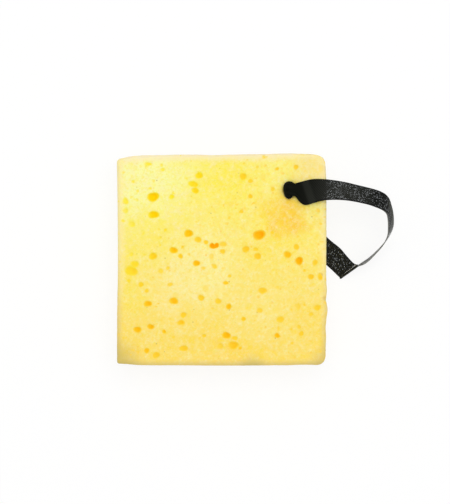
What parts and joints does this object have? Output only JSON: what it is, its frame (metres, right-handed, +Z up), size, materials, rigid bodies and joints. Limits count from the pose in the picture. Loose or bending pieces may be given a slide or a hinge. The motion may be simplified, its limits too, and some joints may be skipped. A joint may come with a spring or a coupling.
{
  "type": "bath sponge",
  "caption": "Square slab of open-celled foam with large pores and a flat black ribbon loop through a hole near one corner.",
  "frame": {"origin": "middle of the slab's lower large face, which it rests on", "axes": "+X along the slab's width towards the ribbon loop, +Y along its length towards the hole's end, +Z up through its thickness"},
  "size_m": [0.1268, 0.096, 0.034],
  "materials": {
    "foam": "open-celled polyurethane foam, matt and slightly translucent, pale lemon to warm yellow with orange-yellow pores",
    "ribbon": "black woven ribbon with a low sheen"
  },
  "bodies": {
    "root": {"foam_block": "foam", "ribbon_loop": "ribbon"}
  },
  "joints": []
}
